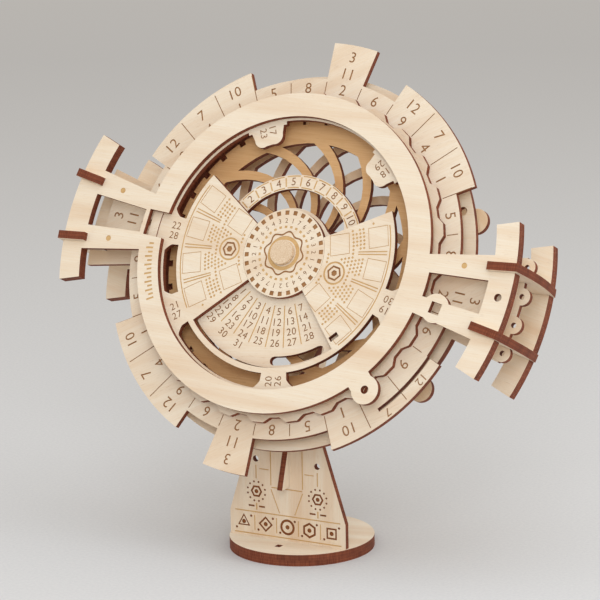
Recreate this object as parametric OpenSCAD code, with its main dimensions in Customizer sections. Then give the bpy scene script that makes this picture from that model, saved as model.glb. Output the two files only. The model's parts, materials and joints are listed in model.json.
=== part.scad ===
// Desk calendar of flat laser-cut plywood plates: a leaning stack of rings, dials and
// spiral wheels on one axle, held in a cage of three armed plates on a small round stand.
// Millimetres. +X right, +Y back, +Z up. The origin is the centre of the base's underside.
// A depth is measured from the front ring's face along the axle, towards the back.

/* [View] */
// Which piece to show

/* [Plywood] */
// Thickness of every plate
ply_t = 2; // [1.8:0.1:2.2]
// Gap between plates that turn past each other
gap = 0.4; // [0.35:0.05:0.45]
// Radial clearance of a plate that turns on a pin or in a ring
run_fit = 0.06; // [0.04:0.01:0.1]

/* [Stand] */
// Radius of the round base
base_r = 25; // [24.5:0.5:27]
// Half width of the stand plate at its foot
foot_half_w = 22.6; // [20:0.2:22.6]
// Distance of the stand plate's front face in front of the base's centre
stand_front = 10; // [9.6:0.1:10]
// Height where the stand plate starts to narrow
shoulder_z = 12.6; // [10:0.2:16]
// Height of the stand plate's top
stand_top_z = 39.4; // [37:0.2:39.4]
// Half width of the stand plate at its top
top_half_w = 14; // [12:0.5:16]
// Height of the bottom of the slot in the stand plate
slot_z = 23.2; // [20:0.2:24]
// How far the spine's hook stands out in front of the stand plate at the slot's bottom
nose_out = 4.9; // [4:0.1:5]

/* [Head] */
// Lean of the axle above the horizontal
lean = 24.8; // [24:0.2:26]
// Turn of the head on its stand, half of one dial sector
head_turn = -6.43; // [-6.43:0.01:-6.42]
// Distance of the front ring's centre in front of the base's centre
ring_y = 11.2; // [11:0.1:11.4]
// Height of the front ring's centre
ring_z = 105.3; // [105:0.1:107]
// Outer radius of the front ring
ring_or = 55.2; // [54.8:0.1:55.4]
// Inner radius of the front ring
ring_ir = 47.1; // [46.5:0.1:47.3]
// Radius of the pin that carries the dials
axle_r = 2.4; // [2:0.1:2.6]

/* [Arms] */
// Inner radius of the arc at an arm's end
arc_ir = 78.5; // [78:0.1:79]
// Outer radius of the arc at an arm's end
arc_or = 86.4; // [85:0.1:86.8]
// Half angle of the arc
arc_half = 17.8; // [16:0.1:19]
// Half angle of an arm's outer edges
arm_half = 10.4; // [10:0.1:11]
// Half angle of the window in an arm
window_half = 4.15; // [3.8:0.05:4.4]
// Angle of the depth ribs from the arm's middle
rib_angle = 7.5; // [7.3:0.05:7.6]
// Thickness of the depth ribs
rib_t = 2.8; // [2:0.1:3]
// Inner radius of the depth ribs
rib_ir = 77; // [76.8:0.1:77.2]
// Outer radius of the depth ribs at their front ends
rib_or = 87.6; // [87:0.1:88]
// Outward bow of the depth ribs
rib_bow = 1.6; // [0:0.1:2]

/* [Dials] */
// Radius of the month ring's short sectors
month_r = 62.6; // [62:0.1:63.6]
// Radius of the month ring's blocks of three sectors
block_r = 69.5; // [68:0.1:70]
// Radius of the month ring's long tabs
tab_r = 75.4; // [74:0.1:75.8]
// Turn of the month ring from the arms
month_turn = -0.8; // [-3:0.1:3]
// Radius of the year mask's inner disc
mask_r = 41.2; // [40:0.1:41.6]
// Radius of the weekday dial
dial_r = 15.3; // [14:0.1:15.5]
// Outer radius of the number band on the date plate
band_or = 27.9; // [27:0.1:28]
// Inner radius of the number band on the date plate
band_ir = 23; // [21:0.1:23]

/* [Wheels] */
// Number of blades in each spiral wheel
blades = 14; // [12:1:15]
// Width of a blade
blade_w = 2.6; // [2.2:0.1:2.8]
// Sweep of a blade from hub to rim
blade_sweep = 42; // [36:1:46]
// Outer radius of the front wheel
front_wheel_r = 48.6; // [48:0.1:48.8]
// Number of notches round the front wheel
notches = 36; // [30:1:40]
// Width of a notch
notch_w = 2.2; // [1.8:0.1:2.6]
// Turn at which the front wheel stands
front_wheel_turn = 3.3; // [0:0.1:12]
// Outer radius of the rear wheel
rear_wheel_r = 60; // [59:0.1:60.5]
// Angle of the rear wheel's finger grips from the line of the arms
grip_angle = 28; // [24:0.5:32]

/* [Hidden] */
$fn = 96;
face_color = [0.88, 0.76, 0.57];
edge_color = [0.45, 0.24, 0.14];

sectors = 28;
sector_a = 360 / sectors;
far = 130;
slit = ply_t + 0.1;
rib_slit = rib_t + 0.1;

// depths of the plates' front faces
mask_d = ply_t + gap;
dial_d = mask_d;
cap_t = 1.4;
cap_d = dial_d - gap - cap_t;
date_d = mask_d + ply_t + gap;
detent_d = date_d + 0.6;
month_d = detent_d + ply_t;
front_wheel_d = month_d + ply_t + gap + 0.4;
mid_d = 13.8;
rear_wheel_d = 21;
rear_d = 30.5;
rib_front = 2;
rib_back = rear_d + 2 * ply_t;
rib_rear_or = rib_or - 1.4;
rear_in = 0.7;

bore_r = axle_r + run_fit;
spacer_r = 5;
guide_ir = front_wheel_r + 1.4;
guide_or = guide_ir + 2;
mask_rim_ir = ring_ir - 0.7;
mask_rim_or = ring_ir + 3.4;
mask_band = 1.9;
tongue_tip = mask_rim_ir - 7.5;
slit_ir = block_r - 5.3;
slit_or = slit_ir + 1.3;
race_ir = mask_rim_or + run_fit;
race_or = race_ir + 3.4;
mid_ring_or = 65.2;
mid_half = 12.2;
eye_at = 84;
eye_r = 2.9;
eye_a = [-10, -3.3, 3.3, 10];
rear_ring_ir = 49;
rear_ring_or = 57;
rear_boss_r = 11;
spine_foot = 13;
socket_y = 17.4;
socket_l = 2.4;
tenon_h = 5.8;
arc_bridge = 1.3;
lug_r = 4.9;

// ---------- places ----------

// x to the right, y up the dials' faces, z out of them
module faces() translate([0, -ring_y, ring_z]) rotate([90 - lean, 0, 0]) children();

module head() faces() rotate([0, 0, head_turn]) children();

// a flat plate whose front face is at depth d
module plate(d, t = ply_t) translate([0, 0, -d - t]) linear_extrude(t) children();

// position in the head's vertical middle plane: height v up the faces, depth d, as [y, z]
function side_point(v, d) =
    [-ring_y + v * sin(lean) + d * cos(lean), ring_z + v * cos(lean) - d * sin(lean)];

// ---------- flat shapes ----------

module wedge(a0, a1) {
    n = ceil(abs(a1 - a0) / 30);
    polygon(concat([[0, 0]], [for (i = [0 : n]) far * [cos(a0 + (a1 - a0) * i / n),
        sin(a0 + (a1 - a0) * i / n)]]));
}

module ring(r0, r1) difference() { circle(r1); circle(r0); }

module arc(r0, r1, a0, a1) intersection() { ring(r0, r1); wedge(a0, a1); }

// arc-shaped slot with round ends
module round_slot(r0, r1, a0, a1) {
    arc(r0, r1, a0, a1);
    for (a = [a0, a1]) rotate(a) translate([(r0 + r1) / 2, 0]) circle(0.47 * (r1 - r0));
}

module rib_slits(r = rib_ir) for (s = [-1, 1]) rotate(s * rib_angle)
    translate([r - 0.05, -rib_slit / 2]) square([far, rib_slit]);

// one arm to the right: two bars from radius r0 and the arc that joins them, moved in by s
module arm(r0, s = 0) difference() {
    union() {
        arc(r0, arc_ir + 0.5 - s, -arm_half, arm_half);
        arc(arc_ir - s, arc_or - s, -arc_half, arc_half);
    }
    arc(r0 + 1.6, arc_ir - 0.8 - s, -window_half, window_half);
    rib_slits();
}

// second layer of the arc; the ribs are halved into it
module doubler(s = 0) difference() {
    arc(arc_ir - s, arc_or - s, -arc_half, arc_half);
    rib_slits(arc_ir + arc_bridge - s);
}

// ---------- stand ----------

module spine_slot() translate([-slit / 2, -0.05, ply_t - 0.01]) cube([slit, spine_foot + 0.1, ply_t + 0.02]);

module plate_tenons(extra) for (s = [-1, 1])
    translate([s * 13 - 4 - extra, -stand_front - extra, ply_t])
        cube([8 + 2 * extra, ply_t + 2 * extra, ply_t + 0.01 + extra]);

module base_lower() color(face_color) cylinder(h = ply_t, r = base_r);

// upper base plate; a small open socket lies in front of the stand plate, in line with the spine
module base_upper() color(face_color) difference() {
    translate([0, 0, ply_t]) cylinder(h = ply_t, r = base_r);
    translate([0, 0, -0.01]) plate_tenons(0.05);
    spine_slot();
    translate([-slit / 2, -socket_y, ply_t - 0.01]) cube([slit, socket_l, ply_t + 0.02]);
}

module stand_plate() color(face_color) {
    translate([0, -stand_front + ply_t, 0]) rotate([90, 0, 0]) linear_extrude(ply_t) difference() {
        polygon([[-foot_half_w, 2 * ply_t], [foot_half_w, 2 * ply_t], [foot_half_w, shoulder_z],
            [top_half_w, stand_top_z], [-top_half_w, stand_top_z], [-foot_half_w, shoulder_z]]);
        translate([-slit / 2, slot_z]) square([slit, stand_top_z]);
        for (s = [-1, 1]) translate([s * 12, 31.8]) circle(1.1);
    }
    intersection() {
        plate_tenons(0);
        translate([-far, -far, 0]) cube([2 * far, 2 * far, 2 * ply_t + 0.005]);
    }
}

// upright plate in the middle plane: foot, hook through the stand plate's slot, and back of the head
module spine() color(face_color) {
    back = rear_d + ply_t;
    hook = rear_d - 0.7;
    low = -rear_ring_or - 1.6;
    behind = -stand_front + ply_t;
    nose = -stand_front - nose_out;
    translate([-ply_t / 2, 0, 0]) rotate([90, 0, 90]) linear_extrude(ply_t) {
        polygon([[spine_foot, 2 * ply_t], [spine_foot, 14], side_point(-56, back + 7), side_point(-30, back + 12),
            side_point(4, back + 13), side_point(16, back + 8), side_point(16, back + 3),
            side_point(13, back), side_point(low, back), side_point(low, hook),
            [-stand_front, stand_top_z - 1.4], [nose, slot_z], [behind + 0.05, slot_z],
            [behind + 0.05, 2 * ply_t]]);
        translate([0, ply_t]) square([spine_foot, ply_t + 0.01]);
        for (v = [-rear_ring_or + 1, -rear_boss_r, rear_boss_r - tenon_h])
            polygon([side_point(v, rear_d), side_point(v, back + 0.1),
                side_point(v + tenon_h, back + 0.1), side_point(v + tenon_h, rear_d)]);
    }
}

// ---------- cage ----------

module front_plate() color(face_color) head() plate(0) difference() {
    union() {
        ring(ring_ir, ring_or);
        for (a = [0, 180]) rotate(a) arm(ring_or - 0.6);
        // lug with a round hole, joined to the ring
        rotate(-40) translate([59.4, 0]) circle(lug_r);
        rotate(-40) translate([51, -4.2]) square([7, 8.4]);
        // round boss on the right arm's lower bar
        rotate(-6.5) translate([62.2, 0]) circle(lug_r);
    }
    rotate(-40) translate([59.4, 0]) circle(1.4);
    rotate(-6.5) translate([62.2, 0]) square(3.9, center = true);
    rotate(0.6) translate([82.4, 0]) circle(1.3);
    // window in the ring for the mask's left label
    translate([-ring_or + 0.7, -4.5]) square([12, 9]);
    rotate(180) arc(ring_or + 1, arc_ir - 0.8, -window_half, window_half);
    for (a = [0, 180]) rotate(a) rib_slits();
}

module front_arc_left() color(face_color) head() plate(ply_t) rotate(180) doubler();

module front_arc_right() color(face_color) head() plate(ply_t) doubler();

module race_ring() color(face_color) head() plate(ply_t) ring(race_ir, race_or);

// bowed strip on edge through the three plates, notched where it crosses a doubled arc
module rib(a) color(edge_color) head() rotate([90, 0, a]) translate([0, 0, -rib_t / 2])
    linear_extrude(rib_t) difference() {
        polygon(concat([[rib_ir, -rib_back], [rib_ir, rib_front]], [for (i = [0 : 12]) let (q = i / 12)
            [rib_or + (rib_rear_or - rib_or) * q + rib_bow * sin(180 * q),
                rib_front - (rib_front + rib_back) * q]]));
        for (j = [[ply_t, 0], [rear_d + ply_t, rear_in]]) translate([rib_ir - 1, -j[0] - ply_t - 0.05])
            square([arc_ir - j[1] + arc_bridge + 1 - rib_ir, ply_t + 0.1]);
    }

module rib_right_upper() rib(rib_angle);
module rib_right_lower() rib(-rib_angle);
module rib_left_upper() rib(180 - rib_angle);
module rib_left_lower() rib(180 + rib_angle);

// the middle plate's arms are wider; the right one has a window and ends in a link of four
// round, drilled eyes, two between the ribs and one outside each of them
module mid_arm() arc(guide_or + 4, eye_at, -mid_half, mid_half);

module mid_link() difference() {
    union() {
        mid_arm();
        for (a = eye_a) rotate(a) translate([eye_at, 0]) circle(eye_r);
    }
    arc(mid_ring_or + 2, 78, -window_half, window_half);
    for (a = eye_a) rotate(a) translate([eye_at, 0]) circle(0.9);
}

module mid_plate() color(face_color) head() plate(mid_d) difference() {
    union() {
        ring(guide_ir, mid_ring_or);
        mid_link();
        rotate(180) mid_arm();
    }
    for (a = [0, 180]) rotate(a) rib_slits();
    rotate(27.5) translate([61.4, 0]) circle(1.5);
}

module guide(i) color(face_color) head() plate(mid_d - i * ply_t) ring(guide_ir, guide_or);

module guide_ring_back() guide(1);
module guide_ring_middle() guide(2);
module guide_ring_front() guide(3);

module rear_plate() color(face_color) head() plate(rear_d) difference() {
    union() {
        ring(rear_ring_ir, rear_ring_or);
        circle(rear_boss_r + 1);
        for (a = [0, 180]) rotate(a) {
            arm(rear_ring_or - 0.6, rear_in);
            translate([rear_boss_r - 1, -5]) square([rear_ring_ir - rear_boss_r + 2, 10]);
        }
        rotate(-head_turn) translate([-5, -rear_ring_ir - 1])
            square([10, rear_ring_ir - rear_boss_r + 2]);
    }
    circle(axle_r);
    rotate(-head_turn) for (v = [-rear_ring_or + 1, -rear_boss_r, rear_boss_r - tenon_h])
        translate([-slit / 2, v - 0.05]) square([slit, tenon_h + 0.1]);
}

module rear_arc_left() color(face_color) head() plate(rear_d + ply_t) rotate(180) doubler(rear_in);

module rear_arc_right() color(face_color) head() plate(rear_d + ply_t) doubler(rear_in);

module rear_boss() color(face_color) head() plate(rear_d - ply_t) ring(axle_r, rear_boss_r);

// ---------- axle ----------

module axle() color(face_color) head() translate([0, 0, -rear_d - ply_t])
    cylinder(h = rear_d + ply_t - cap_d - cap_t, r = axle_r);

module axle_cap() color(face_color) head() translate([0, 0, -cap_d - cap_t])
    cylinder(h = cap_t, r = 4.2);

module spacer(d0, d1) color(face_color) head() translate([0, 0, -d1]) difference() {
    cylinder(h = d1 - d0, r = spacer_r);
    translate([0, 0, -1]) cylinder(h = d1 - d0 + 2, r = axle_r);
}

module spacer_front() spacer(date_d + ply_t + gap, front_wheel_d - ply_t - gap);
module spacer_middle() spacer(front_wheel_d + ply_t + gap, rear_wheel_d - ply_t - gap);
module spacer_rear() spacer(rear_wheel_d + ply_t + gap, rear_d - ply_t);

// ---------- dials ----------

// four cycles of seven sectors, clockwise from each long tab
sector_radii = [tab_r, month_r, block_r, block_r, block_r, month_r, month_r];

module month_ring() color(face_color) head() plate(month_d) rotate(month_turn) difference() {
    union() {
        circle(month_r);
        for (k = [0 : 3], i = [0, 2, 3, 4]) rotate(90 * k - i * sector_a)
            arc(month_r - 2, sector_radii[i], -sector_a / 2 - 0.02, sector_a / 2 + 0.02);
        // the sector beside the slit is a little taller
        rotate(-sector_a) arc(month_r - 2, slit_ir - 0.3, -sector_a / 2 - 0.02, sector_a / 2);
    }
    circle(guide_or + run_fit);
    // slit that frees the outer band of the lower right block
    arc(slit_ir, slit_or, -3.16 * sector_a, -sector_a);
}

module detent_ring() color(face_color) head() plate(detent_d) rotate(month_turn - 4.8) difference() {
    union() {
        circle(55.5);
        for (i = [0 : sectors - 1]) rotate(i * sector_a)
            polygon([[54, -4.7], [55.3, -4.5], [57.2, -2.1], [57.2, 2.1], [55.3, 4.5], [54, 4.7]]);
    }
    circle(guide_or + run_fit);
}

// the mask's six labels stand five sectors apart; the first two are free tongues, the others bridges
label_step = 5 * sector_a;
label_a = [for (i = [1, 2, 3, 4, 5, 0]) 180.7 - i * label_step];

// tongue that hangs from the rim, with a shoulder on each side
module tongue() {
    arc(mask_rim_ir - 1.2, mask_rim_ir + 1, -9.2, 9.2);
    for (s = [-1, 1]) translate([tongue_tip + 3, s * 2.3]) circle(3);
    translate([tongue_tip + 0.2, -2.3]) square([3, 4.6]);
    polygon([[tongue_tip + 1.8, -4.9], [mask_rim_ir - 0.6, -6.4],
        [mask_rim_ir - 0.6, 6.4], [tongue_tip + 1.8, 4.9]]);
}

// bridge from the disc to the rim, flared where it meets the rim
module bridge(half = 6.5) {
    arc(mask_r - 1, mask_rim_ir + 1, -half, half);
    rotate(-half) polygon([[mask_rim_ir - 3.2, 0.4], [mask_rim_ir - 1.5, -0.7],
        [mask_rim_ir - 0.4, -1.7], [mask_rim_ir + 0.4, -2.9], [mask_rim_ir + 0.8, 0.5]]);
    rotate(half) polygon([[mask_rim_ir + 0.8, -0.5], [mask_rim_ir + 0.4, 2.9],
        [mask_rim_ir - 0.4, 1.7], [mask_rim_ir - 1.5, 0.7], [mask_rim_ir - 3.2, -0.4]]);
}

module year_mask() color(face_color) head() plate(mask_d) difference() {
    union() {
        ring(mask_rim_ir, mask_rim_or);
        for (i = [0, 1]) rotate(label_a[i]) tongue();
        for (i = [2, 3, 5]) rotate(label_a[i]) bridge();
        rotate(label_a[4] - 0.8) bridge(8);
        difference() {
            ring(dial_r + run_fit, mask_r);
            wedge(31.6, 149.4);
            arc(0, mask_r - mask_band, 227.5, 315.6);
        }
    }
    rotate(-40.5) translate([36.2, 0]) square([1.8, 3.4], center = true);
}

module hub_dial() color(face_color) head() plate(dial_d) difference() {
    circle(dial_r);
    circle(bore_r);
}

module date_plate() color(face_color) head() plate(date_d) difference() {
    union() {
        circle(band_or);
        arc(band_or - 1, 38.8, 214, 326);
    }
    round_slot(16.3, band_ir, 40, 152);
    round_slot(34.9, 38, 281, 308.5);
    circle(bore_r);
}

// ---------- wheels ----------

// hub, rim and curved blades; a blade turns by the sweep from hub to rim
module spiral(hub_r, rim_ir, rim_or, hand) {
    steps = 12;
    function mid(i) = let (q = i / steps, r = hub_r - 1.5 + (rim_ir - hub_r + 3) * q)
        r * [cos(hand * blade_sweep * pow(q, 1.5)), sin(hand * blade_sweep * pow(q, 1.5))];
    function side(i, s) = let (p = mid(max(i - 1, 0)), n = mid(min(i + 1, steps)), d = n - p,
        w = blade_w * (0.42 + 0.24 * i / steps))
        mid(i) + s * w / norm(d) * [-d[1], d[0]];
    circle(hub_r);
    ring(rim_ir, rim_or);
    for (k = [0 : blades - 1]) rotate(k * 360 / blades)
        polygon(concat([for (i = [0 : steps]) side(i, -1)], [for (i = [steps : -1 : 0]) side(i, 1)]));
}

module front_wheel() color(face_color) head() plate(front_wheel_d) rotate(front_wheel_turn) difference() {
    spiral(13.5, 40.5, front_wheel_r, 1);
    for (i = [0 : notches - 1]) rotate(i * 360 / notches)
        translate([front_wheel_r - 1.5, -notch_w / 2]) square([4, notch_w]);
    circle(bore_r);
}

module front_wheel_collar() color(face_color) head() plate(front_wheel_d - ply_t) ring(bore_r, 9);

module rear_wheel() color(face_color) head() plate(rear_wheel_d) difference() {
    union() {
        spiral(13.5, 43.5, rear_wheel_r, -1);
        for (a = [0, 180], s = [-1, 1]) rotate(a - 2.2 + s * grip_angle)
            translate([62.6, 0]) circle(4.3);
    }
    circle(bore_r);
}

module rear_wheel_collar() color(face_color) head() plate(rear_wheel_d - ply_t) ring(bore_r, 9);

base_lower();
base_upper();
stand_plate();
spine();
front_plate();
front_arc_left();
front_arc_right();
race_ring();
rib_left_upper();
rib_left_lower();
rib_right_upper();
rib_right_lower();
mid_plate();
guide_ring_front();
guide_ring_middle();
guide_ring_back();
rear_plate();
rear_arc_left();
rear_arc_right();
rear_boss();
axle();
axle_cap();
spacer_front();
spacer_middle();
spacer_rear();
month_ring();
detent_ring();
year_mask();
hub_dial();
date_plate();
front_wheel();
front_wheel_collar();
rear_wheel();
rear_wheel_collar();
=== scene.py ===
"""Looks of a perpetual desk calendar of laser-cut plywood.

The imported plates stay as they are. Each gets a pale wood face, a scorched edge with its plies, and
engraving cut into the face: plain numbers, lines and simple shapes. Measures on the plates are in
millimetres and degrees, those of the studio in metres.
"""

import json
import logging
import math
from dataclasses import dataclass, field
from enum import Enum

import bmesh
import bpy
from mathutils import Matrix, Vector

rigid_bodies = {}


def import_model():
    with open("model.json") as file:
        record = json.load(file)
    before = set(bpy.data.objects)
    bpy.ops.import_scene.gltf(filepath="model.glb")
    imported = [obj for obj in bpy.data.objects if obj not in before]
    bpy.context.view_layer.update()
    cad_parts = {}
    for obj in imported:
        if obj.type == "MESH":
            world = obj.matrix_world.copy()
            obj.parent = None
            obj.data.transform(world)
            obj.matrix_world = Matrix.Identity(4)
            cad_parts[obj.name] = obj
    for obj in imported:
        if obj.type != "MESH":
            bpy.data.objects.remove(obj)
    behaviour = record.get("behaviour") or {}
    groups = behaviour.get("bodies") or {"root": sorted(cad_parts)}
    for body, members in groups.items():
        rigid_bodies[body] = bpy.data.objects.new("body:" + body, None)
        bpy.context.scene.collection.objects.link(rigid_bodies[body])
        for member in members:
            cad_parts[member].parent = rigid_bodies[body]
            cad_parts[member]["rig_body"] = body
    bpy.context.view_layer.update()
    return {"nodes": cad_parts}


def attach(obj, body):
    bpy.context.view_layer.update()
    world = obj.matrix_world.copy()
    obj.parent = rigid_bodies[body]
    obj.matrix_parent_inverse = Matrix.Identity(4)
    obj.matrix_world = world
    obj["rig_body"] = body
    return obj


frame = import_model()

MM = 0.001
log = logging.getLogger("calendar")

# a pair is a point, or the two ends of a span
Pair = tuple[float, float]
Triple = tuple[float, float, float]
Colour = tuple[float, float, float, float]
Socket = bpy.types.NodeSocket
Input = Socket | float | Colour

# the head: where its front ring stands, its lean and its turn on the stand
RING_CENTRE = Vector((0, -11.2, 105.3)) * MM
LEAN = 24.8
HEAD_TURN = -6.43

# the sheet's thickness, and the sectors that the month ring, the mask and the dials share
PLY = 2.0
SECTORS = 28
SECTOR = 360 / SECTORS

# how far the stand plate's face stands in front of the base's middle
STAND_FACE = 10.0

# depth of each head plate's front face behind the front ring's face
DEPTH = {
    "front_plate": 0, "front_arc_left": 2, "front_arc_right": 2, "race_ring": 2,
    "mid_plate": 13.8, "guide_ring_back": 11.8, "guide_ring_middle": 9.8, "guide_ring_front": 7.8,
    "rear_plate": 30.5, "rear_arc_left": 32.5, "rear_arc_right": 32.5, "rear_boss": 28.5,
    "year_mask": 2.4, "hub_dial": 2.4, "date_plate": 4.8,
    "detent_ring": 5.4, "month_ring": 7.4,
    "front_wheel": 10.2, "front_wheel_collar": 8.2, "rear_wheel": 21, "rear_wheel_collar": 19,
    "spacer_front": 7.2, "spacer_middle": 12.6, "spacer_rear": 23.4,
}

# a polygon is part of a face where its normal follows the face's this closely, as a cosine
FLAT = 0.7
# how deep the two kinds of engraving go
MARK_DEPTH = 0.22
HATCH_DEPTH = 0.12
# largest angle of one facet of an engraved piece of a ring
FACET = 3.0
# welding distance in metres before a cut, and the angle above which an edge is kept crisp
WELD = 1e-6
CRISP = 30.0

# the digits' spacing, the steps of their curves, and the welding distance at a height of one
DIGIT_SPACING = 1.06
DIGIT_STEPS = 3
DIGIT_WELD = 1e-4


def srgb(*shade: int) -> Colour:
    """Turns a screen colour into the linear colour that a shader takes.

    Args:
        shade: Red, green and blue from 0 to 255.

    Returns:
        Linear red, green, blue and an alpha of 1.
    """
    parts = [c / 255 for c in shade]
    linear = [c / 12.92 if c <= 0.04045 else ((c + 0.055) / 1.055) ** 2.4 for c in parts]
    return (*linear, 1.0)


def polar(radius: float, angle: float) -> Pair:
    """Gives the flat point at a radius and an angle in degrees.

    Args:
        radius: Distance from the centre.
        angle: Angle from the x axis, counter-clockwise.

    Returns:
        The point's x and y.
    """
    a = math.radians(angle)
    return radius * math.cos(a), radius * math.sin(a)


def spin(angle: float, axis: str = "Z") -> Matrix:
    """Gives the turn about one axis by an angle in degrees."""
    return Matrix.Rotation(math.radians(angle), 4, axis)


def new_object(name: str, data: bpy.types.ID) -> bpy.types.Object:
    """Adds an object to the scene.

    Args:
        name: Its name.
        data: Its mesh, text, lamp or camera.

    Returns:
        The object.
    """
    thing = bpy.data.objects.new(name, data)
    bpy.context.scene.collection.objects.link(thing)
    return thing


class Lie(Enum):
    """How a flat plate lies in the object: the direction that its face looks in."""

    HEAD = "head"
    LEVEL = "level"
    FRONT = "front"
    SIDE = "side"
    RIB = "rib"


class Slot(Enum):
    """A plate's material slots."""

    FACE = 0
    EDGE = 1
    MARK = 2
    HATCH = 3


def place(lie: Lie, turn: float = 0.0) -> Matrix:
    """Gives the frame of a plate, with z out of its face and the units in metres.

    Args:
        lie: How the plate lies.
        turn: Turn about the head's axis in degrees, for a rib.

    Returns:
        The matrix from the plate's own axes to the object's.
    """
    head = Matrix.Translation(RING_CENTRE) @ spin(90 - LEAN, "X") @ spin(HEAD_TURN)
    upright = spin(90, "X")
    if lie is Lie.HEAD:
        return head
    if lie is Lie.FRONT:
        return Matrix.Translation((0, -STAND_FACE * MM, 0)) @ upright
    if lie is Lie.SIDE:
        return spin(90) @ upright
    if lie is Lie.RIB:
        return head @ spin(turn) @ upright
    return Matrix.Identity(4)


@dataclass(frozen=True)
class Layer:
    """One layer of noise in a material.

    Its cells are counted per millimetre along the grain, across it and out of the face. The span
    is the part of the noise over which it fades in, and the share is how strong it gets. Detail
    and rough are the number of octaves and the finer ones' weight.
    """

    cells: Triple
    span: Pair
    share: float = 1.0
    detail: float = 2.0
    rough: float = 0.5


class Nodes:
    """A small helper that adds shader nodes and wires them up."""

    def __init__(self, name: str) -> None:
        """Starts an empty material.

        Args:
            name: Name of the material.
        """
        self.material = bpy.data.materials.new(name)
        self.material.use_nodes = True
        self.tree = self.material.node_tree
        self.tree.nodes.clear()

    def add(self, kind: str, inputs: dict | None = None, **settings: object) -> bpy.types.Node:
        """Adds one node.

        Args:
            kind: The node's type without its "ShaderNode" prefix.
            inputs: Values or output sockets by input name or number.
            settings: Properties of the node itself.

        Returns:
            The new node.
        """
        node = self.tree.nodes.new("ShaderNode" + kind)
        for key, value in settings.items():
            setattr(node, key, value)
        for key, value in (inputs or {}).items():
            if isinstance(value, Socket):
                self.tree.links.new(value, node.inputs[key])
            else:
                node.inputs[key].default_value = value
        return node

    def noise(self, position: Socket, layer: Layer) -> Socket:
        """Adds a layer's noise.

        Args:
            position: Position in millimetres.
            layer: The layer.

        Returns:
            The noise from 0 to 1.
        """
        at = self.add("VectorMath", {0: position, 1: layer.cells}, operation="MULTIPLY").outputs[0]
        return self.add("TexNoise", {
            "Vector": at, "Scale": 1.0, "Detail": layer.detail, "Roughness": layer.rough,
        }).outputs[0]

    def span(self, value: Socket, span: Pair, to: Pair = (0.0, 1.0)) -> Socket:
        """Maps a value from one span to another and holds it there."""
        inputs = dict(enumerate((value, *span, *to)))
        return self.add("MapRange", inputs, clamp=True).outputs[0]

    def show(self, noise: Socket, layer: Layer) -> Socket:
        """Fades a layer's noise in over its span, from 0 up to its share."""
        return self.span(noise, layer.span, (0.0, layer.share))

    def mix(self, share: Input, first: Input, second: Input) -> Socket:
        """Mixes two colours; the share is that of the second."""
        node = self.add("Mix", {0: share, 6: first, 7: second}, data_type="RGBA")
        return node.outputs[2]

    def math(self, operation: str, first: Input, second: Input) -> Socket:
        """Does one sum, called by Blender's name for it, on two values."""
        return self.add("Math", {0: first, 1: second}, operation=operation).outputs[0]

    def finish(self, colour: Socket, roughness: Input, bump: Socket, height: float,
               specular: float = 0.35) -> bpy.types.Material:
        """Closes the material with one surface shader.

        Args:
            colour: Base colour.
            roughness: Roughness value or socket.
            bump: Height from 0 to 1.
            height: Height of the bump in millimetres.
            specular: Strength of the sheen off the surface.

        Returns:
            The finished material.
        """
        relief = self.add("Bump", {"Height": bump, "Distance": height * MM, "Strength": 1.0})
        shader = self.add("BsdfPrincipled", {
            "Base Color": colour, "Roughness": roughness, "Specular IOR Level": specular,
            "Normal": relief.outputs[0],
        })
        out = self.add("OutputMaterial", {0: shader.outputs[0]})
        out.is_active_output = True
        return self.material


@dataclass(frozen=True)
class Wood:
    """Where one plate's wood comes from: its frame, grain, tone, face height and thickness."""

    frame: Matrix
    grain: float = 0.0
    tone: float = 0.0
    face: float = 0.0
    thick: float = PLY

    def position(self, nodes: Nodes) -> Socket:
        """Adds the position in the plate's own axes, in millimetres, turned along its grain.

        Args:
            nodes: The material being made.

        Returns:
            Position along the grain, across it, and out of the face.
        """
        inverse = spin(-self.grain) @ self.frame.inverted()
        local = nodes.add("Mapping", {
            "Vector": nodes.add("TexCoord").outputs["Object"],
            "Location": inverse.to_translation(), "Rotation": inverse.to_euler("XYZ"),
        }, vector_type="POINT").outputs[0]
        scale = (1 / MM,) * 3
        return nodes.add("VectorMath", {0: local, 1: scale}, operation="MULTIPLY").outputs[0]


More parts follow.
